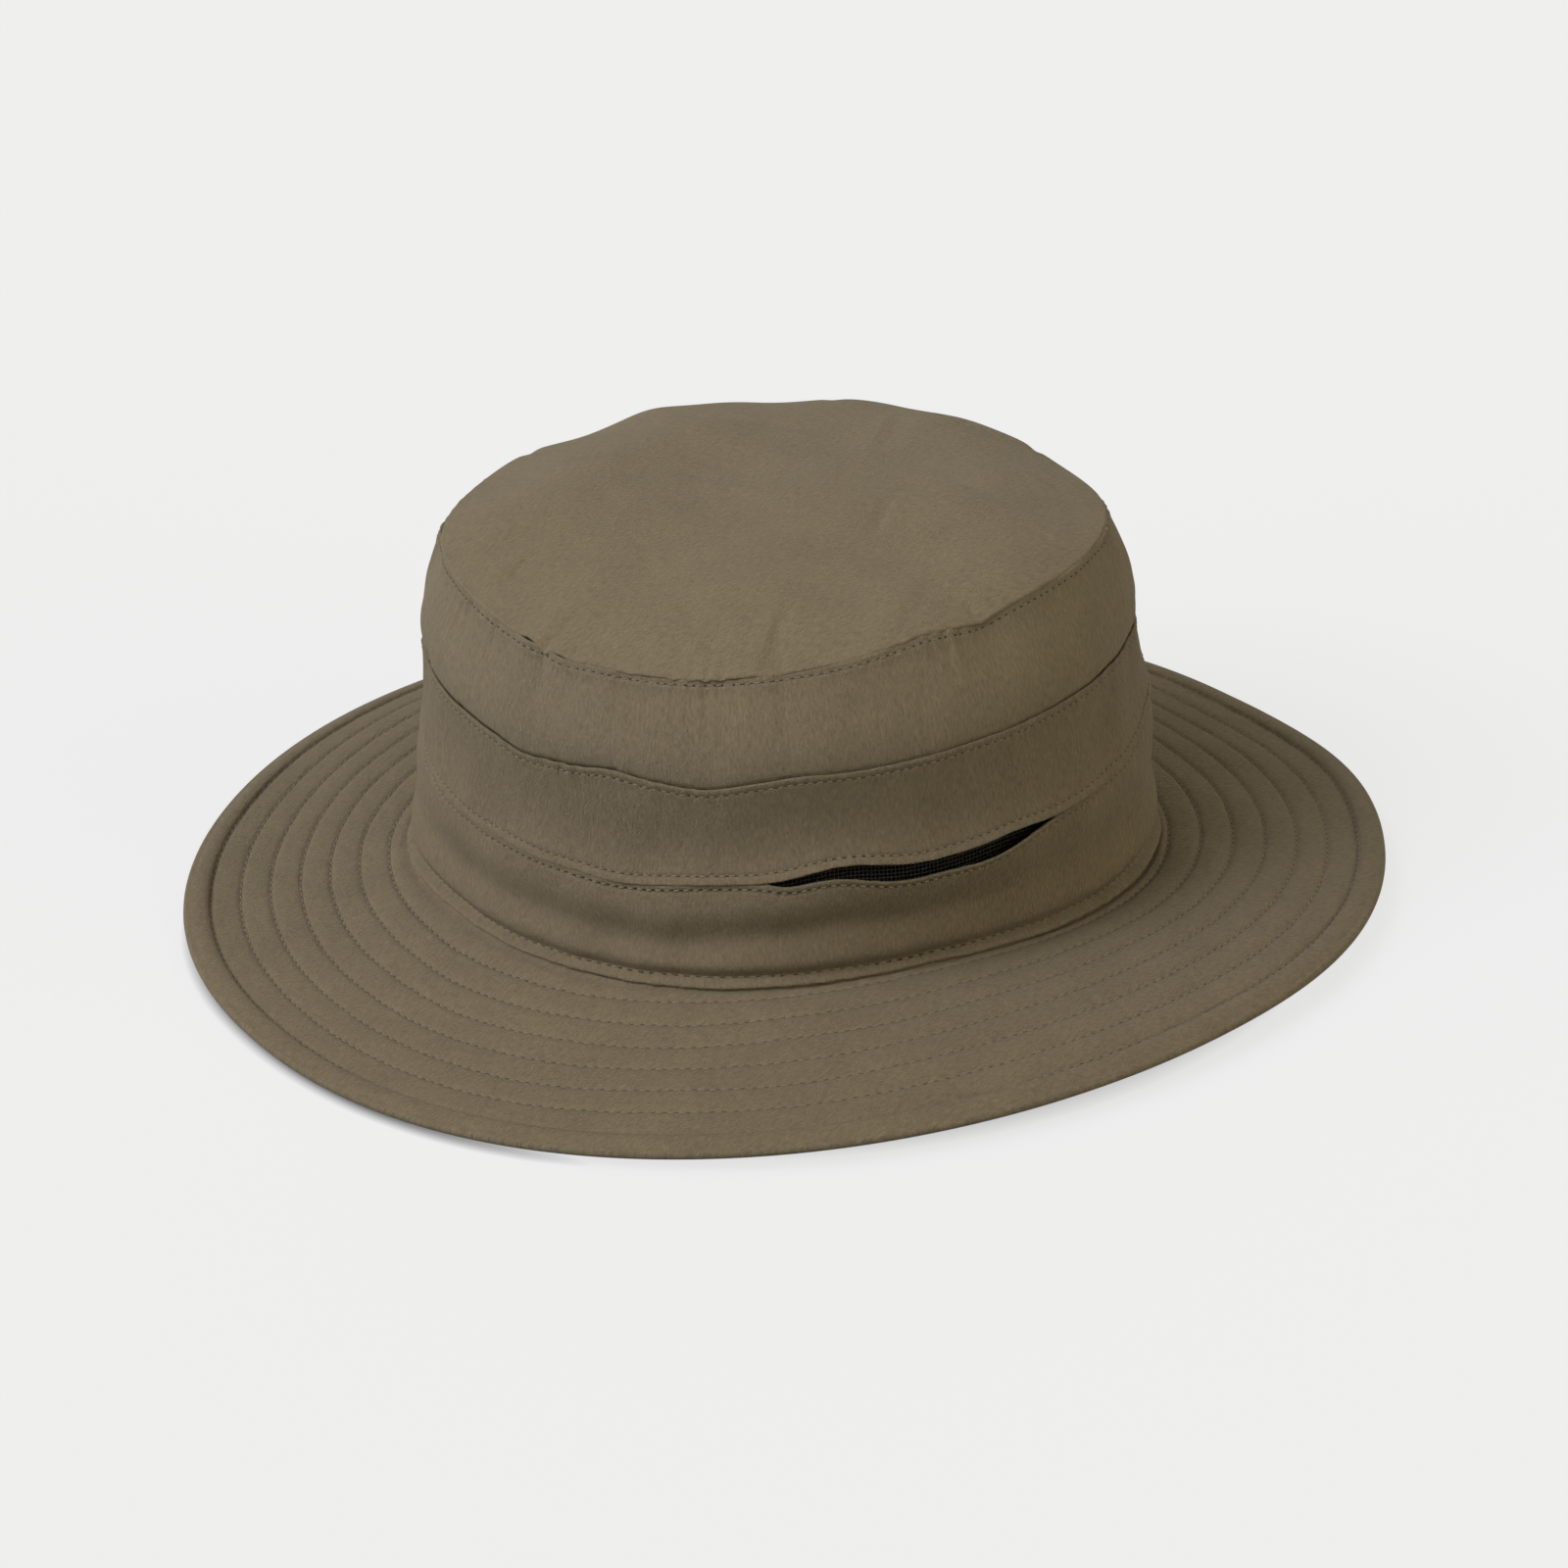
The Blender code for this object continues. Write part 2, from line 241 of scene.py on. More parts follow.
def lay_cloth(name, p, material, thickness=CLOTH, wrap=True, centre=None):
    """A sheet of cloth over a grid of points. Its UV map is the cloth's own flat plane, in cm."""
    rows, cols = p.shape[:2]
    quads, i, j = grid_faces(rows, cols, wrap)
    faces = quads.tolist()
    vertices = p.reshape(-1, 3)
    if centre is not None:
        vertices = np.vstack([vertices, centre])
        faces += [[rows * cols, k, (k + 1) % cols] for k in range(cols)]
    obj = make_mesh(name, vertices, faces)
    down = np.linalg.norm(np.diff(p, axis=0), axis=-1).mean(1)
    v = np.concatenate([[0.0], np.cumsum(down)]) * 0.1
    middle = p[rows // 2]
    after = np.roll(middle, -1, axis=0) if wrap else np.vstack([middle[1:], middle[-1:]])
    u = np.concatenate([[0.0], np.cumsum(np.linalg.norm(after - middle, axis=-1))]) * 0.1
    corner_u = np.stack([u[j], u[j], u[j + 1], u[j + 1]], -1)
    corner_v = np.stack([v[i], v[i + 1], v[i + 1], v[i]], -1)
    uv = np.stack([corner_u, -corner_v], -1).reshape(-1, 2)
    if centre is not None:
        uv = np.vstack([uv, np.zeros((3 * cols, 2))])
    layer = obj.data.uv_layers.new(name="Cloth")
    layer.data.foreach_set("uv", uv.astype(np.float32).ravel())
    obj.data.materials.append(material)
    if thickness:
        solid = obj.modifiers.new("Thickness", "SOLIDIFY")
        solid.thickness = thickness * MM
        solid.offset = -1.0
    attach(obj, "root")
    return obj


def plan_uv(obj):
    """Gives a nearly level piece a UV map that looks straight down, in cm."""
    mesh = obj.data
    co = np.empty(3 * len(mesh.vertices), np.float32)
    mesh.vertices.foreach_get("co", co)
    corner = np.empty(len(mesh.loops), np.int32)
    mesh.loops.foreach_get("vertex_index", corner)
    mesh.uv_layers["Cloth"].data.foreach_set("uv", (co.reshape(-1, 3)[corner, :2] * 100.0).ravel())


def stitch_run(name, node, lines, pitch=STITCH_PITCH, length=0.6, radius=THREAD_RADIUS, hole=(0.68, 0.32)):
    """A row of separate stitches along closed lines of (points, normals), with a flat near black disc
    between each two: painted shade for the shadow in the needle hole. hole is the disc's half length and half
    width."""
    stations = np.array((-0.5, -0.42, -0.2, 0.2, 0.42, 0.5))
    fat = np.array((0.35, 0.85, 1.0, 1.0, 0.85, 0.35))
    sunk = np.array((-1.5, -0.5, 0.25, 0.25, -0.5, -1.5))
    spin = columns(6)
    rim_spin = columns(8)
    all_vertices = []
    all_faces = []
    dark = []
    start = 0
    for points, normals in lines:
        loop = np.vstack([points, points[:1]])
        lift = np.vstack([normals, normals[:1]])
        reach = np.concatenate([[0.0], np.cumsum(np.linalg.norm(np.diff(loop, axis=0), axis=1))])
        count = int(round(reach[-1] / pitch))
        step = reach[-1] / count

        def at(where):
            place = np.stack([np.interp(where, reach, loop[:, k]) for k in range(3)], -1)
            up = np.stack([np.interp(where, reach, lift[:, k]) for k in range(3)], -1)
            return place, up / np.linalg.norm(up, axis=-1, keepdims=True)

        middle = (np.arange(count) + 0.5) * step
        place, up = at(middle[:, None] + stations * step * length)
        along = np.gradient(place, axis=1)
        along /= np.linalg.norm(along, axis=-1, keepdims=True)
        side = np.cross(along, up)
        centre = place + up * (sunk * radius)[None, :, None]
        rim = np.cos(spin)[:, None] * side[:, :, None] + np.sin(spin)[:, None] * up[:, :, None]
        body = centre[:, :, None] + rim * (fat * radius)[None, :, None, None]
        per = len(stations) * len(spin)
        quads = grid_faces(len(stations), len(spin), True)[0]
        ends = np.array([list(range(6)), list(range(per - 1, per - 7, -1))])
        offsets = start + np.arange(count) * per
        all_vertices.append(body.reshape(-1, 3))
        all_faces += (quads[None] + offsets[:, None, None]).reshape(-1, 4)[:, ::-1].tolist()
        all_faces += (ends[None] + offsets[:, None, None]).reshape(-1, 6)[:, ::-1].tolist()
        dark += [0] * (count * (len(quads) + 2))
        start += count * per

        # painted shade: a flat dark disc at each needle hole, for the shadow inside it
        place, up = at(np.arange(count) * step)
        along = np.roll(place, -1, axis=0) - np.roll(place, 1, axis=0)
        along /= np.linalg.norm(along, axis=-1, keepdims=True)
        side = np.cross(along, up)
        rim = (np.cos(rim_spin)[:, None] * along[:, None] * hole[0]
               + np.sin(rim_spin)[:, None] * side[:, None] * hole[1])
        all_vertices.append((place[:, None] - up[:, None] * 0.06 + rim).reshape(-1, 3))
        all_vertices.append(place - up * 0.03)
        fan = np.array([[k, (k + 1) % 8] for k in range(8)])
        offsets = start + np.arange(count) * 8
        fans = fan[None] + offsets[:, None, None]
        hubs = np.broadcast_to((start + 8 * count + np.arange(count))[:, None, None], (count, 8, 1))
        all_faces += np.concatenate([fans, hubs], -1).reshape(-1, 3).tolist()
        dark += [1] * (count * 8)
        start += count * 9
    obj = make_mesh(name, np.vstack(all_vertices), all_faces)
    obj.data.materials.append(THREAD)
    obj.data.materials.append(NEEDLE_HOLE_SHADE)
    obj.data.polygons.foreach_set("material_index", dark)
    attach(obj, "root")
    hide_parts(node)
    return obj


# ---- materials ---------------------------------------------------------------------------------
def new_material(name, colour, roughness, sheen=0.0):
    material = bpy.data.materials.new(name)
    material.use_nodes = True
    tree = material.node_tree
    shader = tree.nodes["Principled BSDF"]
    shader.inputs["Base Color"].default_value = (*colour, 1.0)
    shader.inputs["Roughness"].default_value = roughness
    shader.inputs["Specular IOR Level"].default_value = 0.25
    shader.inputs["Sheen Weight"].default_value = sheen
    shader.inputs["Sheen Roughness"].default_value = 0.5
    return material, tree, shader


def node(tree, kind, inputs=(), **settings):
    """A node with its settings; inputs pairs a socket's name or number with a value or an output."""
    made = tree.nodes.new(kind)
    for key, value in settings.items():
        setattr(made, key, value)
    for key, value in inputs:
        if isinstance(value, bpy.types.NodeSocket):
            tree.links.new(value, made.inputs[key])
        else:
            made.inputs[key].default_value = value
    return made


def cloth_material(name, colour, weave_mm=0.5, weave=0.5, crepe=1.0, mottle=0.06, roughness=0.9, sheen=0.03):
    """Plain woven cloth: a fine over and under weave, upright crepe streaks and a faint mottle."""
    material, tree, shader = new_material(name, colour, roughness, sheen)
    place = node(tree, "ShaderNodeUVMap", uv_map="Cloth").outputs["UV"]
    threads_per_cm = 10.0 / weave_mm
    fibre = math.pi * threads_per_cm
    split = node(tree, "ShaderNodeSeparateXYZ", [(0, place)])
    sines = []
    for axis in ("X", "Y"):
        turned = node(tree, "ShaderNodeMath", [(0, split.outputs[axis]), (1, fibre)], operation="MULTIPLY")
        sines.append(node(tree, "ShaderNodeMath", [(0, turned.outputs[0])], operation="SINE").outputs[0])
    over = node(tree, "ShaderNodeMath", [(0, sines[0]), (1, sines[1])], operation="MULTIPLY").outputs[0]
    upright = node(tree, "ShaderNodeMapping", [("Vector", place), ("Scale", (15.0, 4.5, 1.0))])
    streak = node(tree, "ShaderNodeTexNoise",
                  [("Vector", upright.outputs[0]), ("Scale", 1.0), ("Detail", 4.0), ("Roughness", 0.6),
                   ("Distortion", 0.5)])
    grain = node(tree, "ShaderNodeTexNoise",
                 [("Vector", place), ("Scale", 12.0), ("Detail", 5.0), ("Roughness", 0.7)])
    patch = node(tree, "ShaderNodeTexNoise",
                 [("Vector", place), ("Scale", 0.6), ("Detail", 3.0), ("Roughness", 0.5)])
    height = node(tree, "ShaderNodeMath", [(0, streak.outputs["Fac"]), (1, crepe)], operation="MULTIPLY")
    height = node(tree, "ShaderNodeMath", [(0, grain.outputs["Fac"]), (1, 0.6), (2, height.outputs[0])],
                  operation="MULTIPLY_ADD")
    height = node(tree, "ShaderNodeMath", [(0, over), (1, 0.16 * weave), (2, height.outputs[0])],
                  operation="MULTIPLY_ADD")
    bump = node(tree, "ShaderNodeBump",
                [("Height", height.outputs[0]), ("Strength", 1.0), ("Distance", 0.0007)])
    tree.links.new(bump.outputs["Normal"], shader.inputs["Normal"])
    speck = node(tree, "ShaderNodeMath", [(0, streak.outputs["Fac"]), (1, 0.5)], operation="SUBTRACT")
    cloudy = node(tree, "ShaderNodeMath", [(0, patch.outputs["Fac"]), (1, 0.5)], operation="SUBTRACT")
    value = node(tree, "ShaderNodeMath", [(0, speck.outputs[0]), (1, 1.0)], operation="ADD")
    value = node(tree, "ShaderNodeMath", [(0, cloudy.outputs[0]), (1, 4.0 * mottle), (2, value.outputs[0])],
                 operation="MULTIPLY_ADD")
    value = node(tree, "ShaderNodeMath", [(0, over), (1, 0.05 * weave), (2, value.outputs[0])],
                 operation="MULTIPLY_ADD")
    paint = node(tree, "ShaderNodeVectorMath", [(0, colour), ("Scale", value.outputs[0])], operation="SCALE")
    tree.links.new(paint.outputs[0], shader.inputs["Base Color"])
    return material


def thread_material(name, colour):
    material, tree, shader = new_material(name, colour, 0.7, 0.1)
    place = node(tree, "ShaderNodeTexCoord").outputs["Object"]
    twist = node(tree, "ShaderNodeTexNoise", [("Vector", place), ("Scale", 5000.0), ("Detail", 2.0)])
    bump = node(tree, "ShaderNodeBump",
                [("Height", twist.outputs["Fac"]), ("Strength", 0.4), ("Distance", 0.0001)])
    tree.links.new(bump.outputs["Normal"], shader.inputs["Normal"])
    ramp = node(tree, "ShaderNodeMath", [(0, twist.outputs["Fac"]), (1, 0.5), (2, 0.75)],
                operation="MULTIPLY_ADD")
    paint = node(tree, "ShaderNodeVectorMath", [(0, colour), ("Scale", ramp.outputs[0])], operation="SCALE")
    tree.links.new(paint.outputs[0], shader.inputs["Base Color"])
    return material


OLIVE = (0.178, 0.140, 0.086)
PAINTED_LIGHT_OLIVE = (0.199, 0.159, 0.099)     # lighter, to make up for lamps that leave the top too dark
SHELL = cloth_material("olive_cloth", OLIVE)
PAINTED_LIGHT_SHELL = cloth_material("olive_cloth_painted_lighter", PAINTED_LIGHT_OLIVE)
UNDER = cloth_material("brim_under_cloth", (0.160, 0.129, 0.082))
SWEAT = cloth_material("sweatband_knit", (0.072, 0.060, 0.042), weave_mm=0.9, weave=1.6, crepe=0.6)
TAPE = cloth_material("seam_tape", (0.105, 0.086, 0.055), weave_mm=0.8, weave=1.5, crepe=0.3)
FOAM = cloth_material("interlining", (0.35, 0.34, 0.31), weave=0.0, crepe=0.4)
LABEL = cloth_material("label_tape", (0.70, 0.69, 0.66), weave_mm=0.4, weave=1.0, crepe=0.2, sheen=0.0)
NET = cloth_material("vent_net", (0.046, 0.044, 0.038), crepe=0.4)
THREAD = thread_material("olive_thread", (0.196, 0.159, 0.101))
# painted shade: near black, for the shadow inside each needle hole
NEEDLE_HOLE_SHADE = thread_material("needle_hole_painted_shade", (0.020, 0.016, 0.010))


# ---- crown -------------------------------------------------------------------------------------
def slit(t):
    """How far a side vent hangs open, in mm; the left one opens widest behind its middle."""
    open_left = bumps(((5.0, 8.5, 4.0), (-14.0, 14.0, 4.6), (-29.0, 5.0, 0.9)), t)
    open_right = bumps(((176.0, 14.0, 3.8), (197.0, 14.0, 2.0)), t)
    near = np.minimum(np.abs(np.degrees(turn(t, 0.0))), np.abs(np.degrees(turn(t, 180.0))))
    sewn = np.clip((SLIT_HALF_ANGLE - near) / 7.0, 0.0, 1.0)
    return (open_left + open_right) * sewn * sewn * (3.0 - 2.0 * sewn)


def crumple(t, v):
    """Height of the crown cloth's soft wrinkles; v is mm up the wall."""
    broad = ripples(3, 26, (2, 9), (0.4, 1.6), t, v)
    fine = ripples(4, 40, (10, 34), (0.6, 3.0), t, v)
    crepe = ripples(5, 50, (50, 130), (1.0, 8.0), t, v)
    return 0.24 * broad + 0.15 * fine + 0.05 * crepe


def puckers(t, v, distance, reach):
    """Upright gathers that a row of stitching pulls into the cloth."""
    gathers = ripples(11, 40, (60, 150), (0.0, 2.0), t, v)
    busy = np.clip(0.7 + 0.6 * ripples(12, 8, (2, 7), (0.0, 0.5), t, v), 0.0, 2.0)
    return 0.15 * gathers * busy * np.exp(-np.maximum(distance, 0.0) / reach)


# where the tip seam's stitching gathers the cloth: (angle, half width in degrees, mm out, reach in mm)
PINCHES = ((-76.0, 1.8, 0.8, 8.0), (-72.0, 1.3, -1.6, 9.0), (-68.0, 1.8, 0.7, 7.0),
           (-54.0, 1.0, -0.3, 6.0), (-46.0, 0.9, -0.55, 8.0), (-43.0, 0.8, -0.7, 9.0),
           (-40.5, 0.8, -0.8, 11.0), (-38.0, 0.8, -0.6, 8.0), (-28.0, 1.2, -0.5, 14.0),
           (-7.0, 1.6, -0.3, 6.0), (9.0, 1.6, -0.6, 8.0), (36.0, 1.4, -0.4, 9.0),
           (95.0, 2.0, -0.6, 10.0), (140.0, 1.6, -0.6, 9.0), (201.0, 1.8, -0.7, 10.0))


def pinch(t, distance):
    """Short folds that run into the tip seam, fading away from it."""
    value = 0.0 * t
    for angle, half_width, height, reach in PINCHES:
        off = np.degrees(turn(t, angle)) / half_width
        value = value + height * np.exp(-off ** 2 - np.maximum(distance, 0.0) / reach)
    return value


# long soft creases across the crown tip: x and y of both ends, half width and depth, in mm
CREASES = ((35.0, 13.0, 25.0, 23.0, 2.0, 0.8), (19.0, 29.0, 23.0, 44.0, 2.4, 0.75),
           (23.0, 44.0, 40.0, 52.0, 3.0, 0.3), (22.0, 72.0, 33.0, 73.0, 2.2, 0.4),
           (56.0, -28.0, 72.0, -44.0, 2.2, 0.6), (46.0, -40.0, 60.0, -56.0, 2.6, 0.35),
           (-10.0, -66.0, -4.0, -80.0, 2.4, 0.6), (-18.0, -56.0, -22.0, -76.0, 3.0, 0.4),
           (68.0, 8.0, 76.0, -4.0, 2.4, 0.5),
           (-60.0, 10.0, -34.0, 34.0, 3.0, 0.4), (-30.0, 60.0, -12.0, 44.0, 2.6, 0.4))


def crease_depth(x, y):
    """The long creases: a groove with a low ridge beside it."""
    value = 0.0 * x
    for x0, y0, x1, y1, half_width, depth in CREASES:
        length = math.hypot(x1 - x0, y1 - y0)
        along = ((x - x0) * (x1 - x0) + (y - y0) * (y1 - y0)) / length
        across = ((x - x0) * (y1 - y0) - (y - y0) * (x1 - x0)) / length
        fade = np.clip(np.minimum(along + 5.0, length + 5.0 - along) / 10.0, 0.0, 1.0)
        side = across / half_width
        profile = 0.5 * np.exp(-(side - 1.2) ** 2) - np.exp(-side ** 2)
        value = value + depth * profile * fade * fade * (3.0 - 2.0 * fade)
    return value


def folded_edge(p, distance, out, sign):
    """Rows that roll an edge back behind its cloth, ordered from the cloth's edge to the hidden end.
    distance is each row's distance from the edge, and sign is 1 where the edge points up and -1
    where it points down."""
    r = FOLD_RADIUS
    far = distance.mean(1)
    edge = p[int(np.argmin(far))]
    turns = [(r * (1.0 - math.cos(a)), r * math.sin(a)) for a in np.radians(np.arange(30.0, 181.0, 30.0))]
    rows = [edge - out * inset + np.array((0.0, 0.0, sign * rise)) for inset, rise in turns]
    for depth in (1.1, 2.3, 3.6, 5.0, HEM_DEPTH):
        rows.append(p[int(np.argmin(np.abs(far - depth)))] - out * 2.0 * r)
    return rows


def tucked_edge(edge, out, sign, depth=HEM_DEPTH, inward=1.0):
    """Rows that carry an edge in behind the panel that laps over it."""
    up = np.array((0.0, 0.0, sign))
    steps = ((0.35, 0.1), (0.9, 0.5), (1.3, 1.3), (1.4, 0.5 * depth), (1.4, depth))
    return [edge - out * inset * inward + up * rise for inset, rise in steps]


def edge_rows(dense, total):
    """Fractions from 0 to 1, closer together within a few mm of both ends."""
    near = np.array((0.0, 0.35, 0.7, 1.1, 1.5, 1.9, 2.3, 2.7, 3.1, 3.6, 4.2, 5.0, 6.0)) / dense
    middle = np.linspace(6.0 / dense, 1.0 - 6.0 / dense, total)[1:-1]
    return np.concatenate([near, middle, (1.0 - near)[::-1]])


def band_surface(low, top_drop, bottom_rise, shape, extra=None):
    """Rows of points down a crown band. shape gives the height of the relief from the distances
    to the top and bottom edges, in mm."""
    t = columns(AROUND)[None, :]
    height = wall_height(low, t)
    share = edge_rows(26.0, 22)[:, None]
    top = 1.0 - top_drop(t) / height
    bottom = bottom_rise(t) / height
    f = top * (1.0 - share) + bottom * share
    from_top = (top - f) * height
    from_bottom = (f - bottom) * height
    t = np.broadcast_to(t, f.shape)
    p = wall(low, t, f)
    base_v = (0.0, 35.0, 62.0)[low]
    relief = shape(t, from_top, from_bottom) + crumple(t, base_v + f * height)
    p = p + surface_normals(p) * relief[..., None]
    if extra is not None:
        p = p + extra(t, from_top, from_bottom)
    return p, from_top, from_bottom


def line_at(p, distance, wanted, lift=0.0):
    """The row of a surface nearest a distance from an edge, with its normals."""
    row = int(np.argmin(np.abs(distance.mean(1) - wanted)))
    normals = surface_normals(p)[row]
    return p[row] + normals * lift, normals


def steady(height):
    """A distance in mm that is the same all the way round."""
    return lambda t: height + 0.0 * t


def cloth_waves(rng, count, lengths, steepness, x, y):
    """Random straight waves across a flat panel; lengths are the shortest and longest wave, in mm."""
    value = 0.0 * x
    for _ in range(count):
        wavelength = rng.uniform(*lengths)
        heading = rng.uniform(0.0, math.pi)
        phase = rng.uniform(0.0, 2.0 * math.pi)
        k = 2.0 * math.pi / wavelength
        along = x * math.cos(heading) + y * math.sin(heading)
        value = value + steepness * wavelength * np.cos(k * along + phase)
    return value


def crown_tip():
    """The oval top: domed, softly creased, its edge turned down behind the upper band."""
    t = columns(AROUND)[None, :]
    near_rim = (0.945, 0.96, 0.972, 0.982, 0.99, 0.996, 1.0)
    part = np.concatenate([np.linspace(0.02, 0.93, 92), near_rim])[:, None]
    lift = np.array((0.0, 0.0, SHOULDER))
    even = ring(TIP._replace(dents=(), swells=()), t) + lift
    uneven = ring(TIP, t) + lift - even
    middle = np.array((0.0, TIP.y, TIP.z[0] + SHOULDER))
    p = middle * (1.0 - part[..., None]) + even * part[..., None] + uneven * part[..., None] ** 5
    p[..., 2] += DOME_HEIGHT * (1.0 - part ** DOME_POWER)
    p[..., 2] += dome_relief(p[..., 0], p[..., 1], part) + pinch(t, (1.0 - part) * 85.0) * part ** 2
    top = DOME_HEIGHT + dome_relief(np.array(0.0), np.array(TIP.y), np.array(0.0))
    centre = middle + np.array((0.0, 0.0, top))
    out = outward(columns(AROUND))
    turned = ((-0.25, 0.28), (-0.36, 0.62), (-0.3, 0.95), (0.0, 1.12), (0.8, 1.25), (1.3, 2.0),
              (1.4, HEM_DEPTH))
    p = np.concatenate([p, [p[-1] - out * inset - np.array((0.0, 0.0, drop)) for inset, drop in turned]])
    # the tip's cloth is the olive painted lighter, for light that the lamps leave short on top
    tip = lay_cloth("crown_tip_panel", p, PAINTED_LIGHT_SHELL, centre=centre)
    plan_uv(tip)
    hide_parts("crown_tip")


def dome_relief(x, y, part):
    """Soft creases across the crown tip, in mm up."""
    rng = np.random.default_rng(21)
    broad = cloth_waves(rng, 46, (22.0, 80.0), 0.0042, x, y)
    short = cloth_waves(rng, 60, (7.0, 24.0), 0.0014, x, y)
    calm = 1.0 - part ** 6
    return (broad + short) * calm * 0.6 + crease_depth(x, y)


def upper_band():
    def relief(t, from_top, from_bottom):
        welt = 0.45 * ridge(from_top - 0.6, 2.4, 4) - 0.25 * ridge(from_top, 0.35)
        groove = -0.36 * ridge(from_top - SEAM_TO_STITCH, 0.45) - 0.45 * ridge(from_bottom, 0.9)
        gathers = puckers(t, from_top, from_top, 9.0)
        gathers = gathers + 0.5 * puckers(t + 1.0, from_bottom, from_bottom, 6.0)
        return welt + groove + gathers + pinch(t, from_top)

    p, from_top, from_bottom = band_surface(2, steady(-0.1), steady(0.0), relief)
    out = outward(columns(AROUND))
    up = np.array((0.0, 0.0, 1.0))
    steps = ((1.5, -5.0), (1.4, -1.6), (0.9, -0.4), (0.3, 0.0))
    seam = [p[0] - out * inset + up * rise for inset, rise in steps]
    rows = seam + list(p) + tucked_edge(p[-1], out, -1.0)
    # this band's cloth is the olive painted lighter too, for light that the lamps leave short
    band = lay_cloth("upper_band_panel", np.array(rows), PAINTED_LIGHT_SHELL)
    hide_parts("upper_band")
    line = line_at(p, from_top, SEAM_TO_STITCH, THREAD_LIFT)
    stitch_run("tip_seam_thread", "tip_seam_stitch", [line], SEAM_STITCH_PITCH)


def middle_band():
    def relief(t, from_top, from_bottom):
        welt = 0.3 + 0.3 * ridge(from_top, 2.4, 4)
        groove = -0.40 * ridge(from_top - SEAM_TO_STITCH, 0.45)
        groove = groove - 0.40 * ridge(from_bottom - VENT_TO_STITCH, 0.45)
        hem = 0.12 * ridge(from_bottom, 4.0, 4)
        down = from_top / (from_top + from_bottom)
        sag = 0.5 + bumps(((-26.0, 46.0, 1.7),), t)
        hollow = -sag * 4.0 * down * (1.0 - down) * (0.4 + 1.2 * down)
        return welt + groove + hem + hollow + 0.8 * puckers(t + 2.0, from_top, from_top, 6.0)

    p, from_top, from_bottom = band_surface(1, steady(0.2), steady(0.0), relief)
    out = outward(columns(AROUND))
    rows = folded_edge(p, from_top, out, 1.0)[::-1] + list(p) + folded_edge(p, from_bottom, out, -1.0)
    band = lay_cloth("middle_band_panel", np.array(rows), SHELL)
    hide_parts("middle_band")
    line = line_at(p, from_top, SEAM_TO_STITCH, THREAD_LIFT)
    stitch_run("mid_seam_thread", "mid_seam_stitch", [line], SEAM_STITCH_PITCH)
    line = line_at(p, from_bottom, VENT_TO_STITCH, THREAD_LIFT)
    stitch_run("vent_hem_thread", "vent_stitch_upper", [line], SEAM_STITCH_PITCH)


def lower_band():
    def relief(t, from_top, from_bottom):
        groove = -0.30 * ridge(from_bottom - BASE_TO_STITCH, 0.45)
        groove = groove - 0.35 * ridge(from_top - VENT_TO_STITCH + 0.5, 0.45)
        total = from_top + from_bottom
        part = from_top / total
        low = 0.53 + bumps(((-46.0, 10.0, 0.06), (0.0, 26.0, -0.08)), t)
        depth = 0.7 + bumps(((-88.0, 16.0, 0.5), (-34.0, 34.0, 1.1), (150.0, 40.0, 0.6)), t)
        valley = -depth * np.exp(-((part - low) / 0.15) ** 2)
        shoulder = 0.35 * depth * np.exp(-((part - low + 0.33) / 0.13) ** 2)
        belly = (0.4 + bumps(((-40.0, 50.0, 0.4),), t)) * np.exp(-((part - 0.83) / 0.1) ** 2)
        lip = 0.35 * slit(t) * np.exp(-from_top / 3.5)
        gathers = 0.6 * puckers(t + 3.0, from_bottom, from_bottom, 6.0)
        return groove + valley + shoulder + belly + lip + gathers

    def skirt(t, from_top, from_bottom):
        """The flat ridge that the base seam makes, leaning out below its stitching."""
        lean = np.clip((from_bottom - 0.5) / 1.9, 0.0, 1.0)
        out = 1.1 - 2.7 * lean * lean * (3.0 - 2.0 * lean)
        out = np.where(from_bottom > 2.4, -1.6 * np.exp(-((from_bottom - 2.4) / 2.6) ** 2), out)
        return outward(t) * out[..., None]

    p, from_top, from_bottom = band_surface(0, lambda t: 0.5 + slit(t), steady(0.45), relief, skirt)
    out = outward(columns(AROUND))
    up = np.array((0.0, 0.0, 1.0))
    closed = 1.0 - np.clip(slit(columns(AROUND)) / 0.8, 0.0, 1.0)[:, None]
    folded = folded_edge(p, from_top, out, 1.0)
    tucked = tucked_edge(p[0], out, 1.0, 3.0, 2.3)
    hidden = [folded[k] * (1.0 - closed) + tucked[min(k, 4)] * closed for k in range(len(folded))]
    steps = ((0.3, 0.25), (0.9, 0.45), (1.4, 1.2), (1.5, 3.2))
    tail = [p[-1] - out * inset - up * drop for inset, drop in steps]
    rows = hidden[::-1] + list(p) + tail
    band = lay_cloth("lower_band_panel", np.array(rows), SHELL)
    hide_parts("lower_band")
    line = line_at(p, from_top, VENT_TO_STITCH - 0.5, THREAD_LIFT)
    stitch_run("vent_edge_thread", "vent_stitch_lower", [line], SEAM_STITCH_PITCH)
    line = line_at(p, from_bottom, BASE_TO_STITCH, THREAD_LIFT)
    stitch_run("base_thread", "base_topstitch", [line], BASE_STITCH_PITCH, hole=(0.95, 0.55))


def vent_net(name, replaced, middle):
    """Fine open net behind a side vent."""
    t = np.radians(middle + np.linspace(-SLIT_HALF_ANGLE, SLIT_HALF_ANGLE, 112))[None, :]
    heights = np.linspace(1.0, 0.0, 18)[:, None]
    top = wall(1, t, 0.36 + 0.0 * t, NET_INSET)
    foot = wall(0, t, 0.72 + 0.0 * t, NET_INSET)
    p = foot + (top - foot) * heights[..., None]
    net = lay_cloth(name, p, NET, thickness=0.0, wrap=False)
    holes = net.modifiers.new("Net", "WIREFRAME")
    holes.thickness = 0.42 * MM
    holes.use_even_offset = False
    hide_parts(replaced)


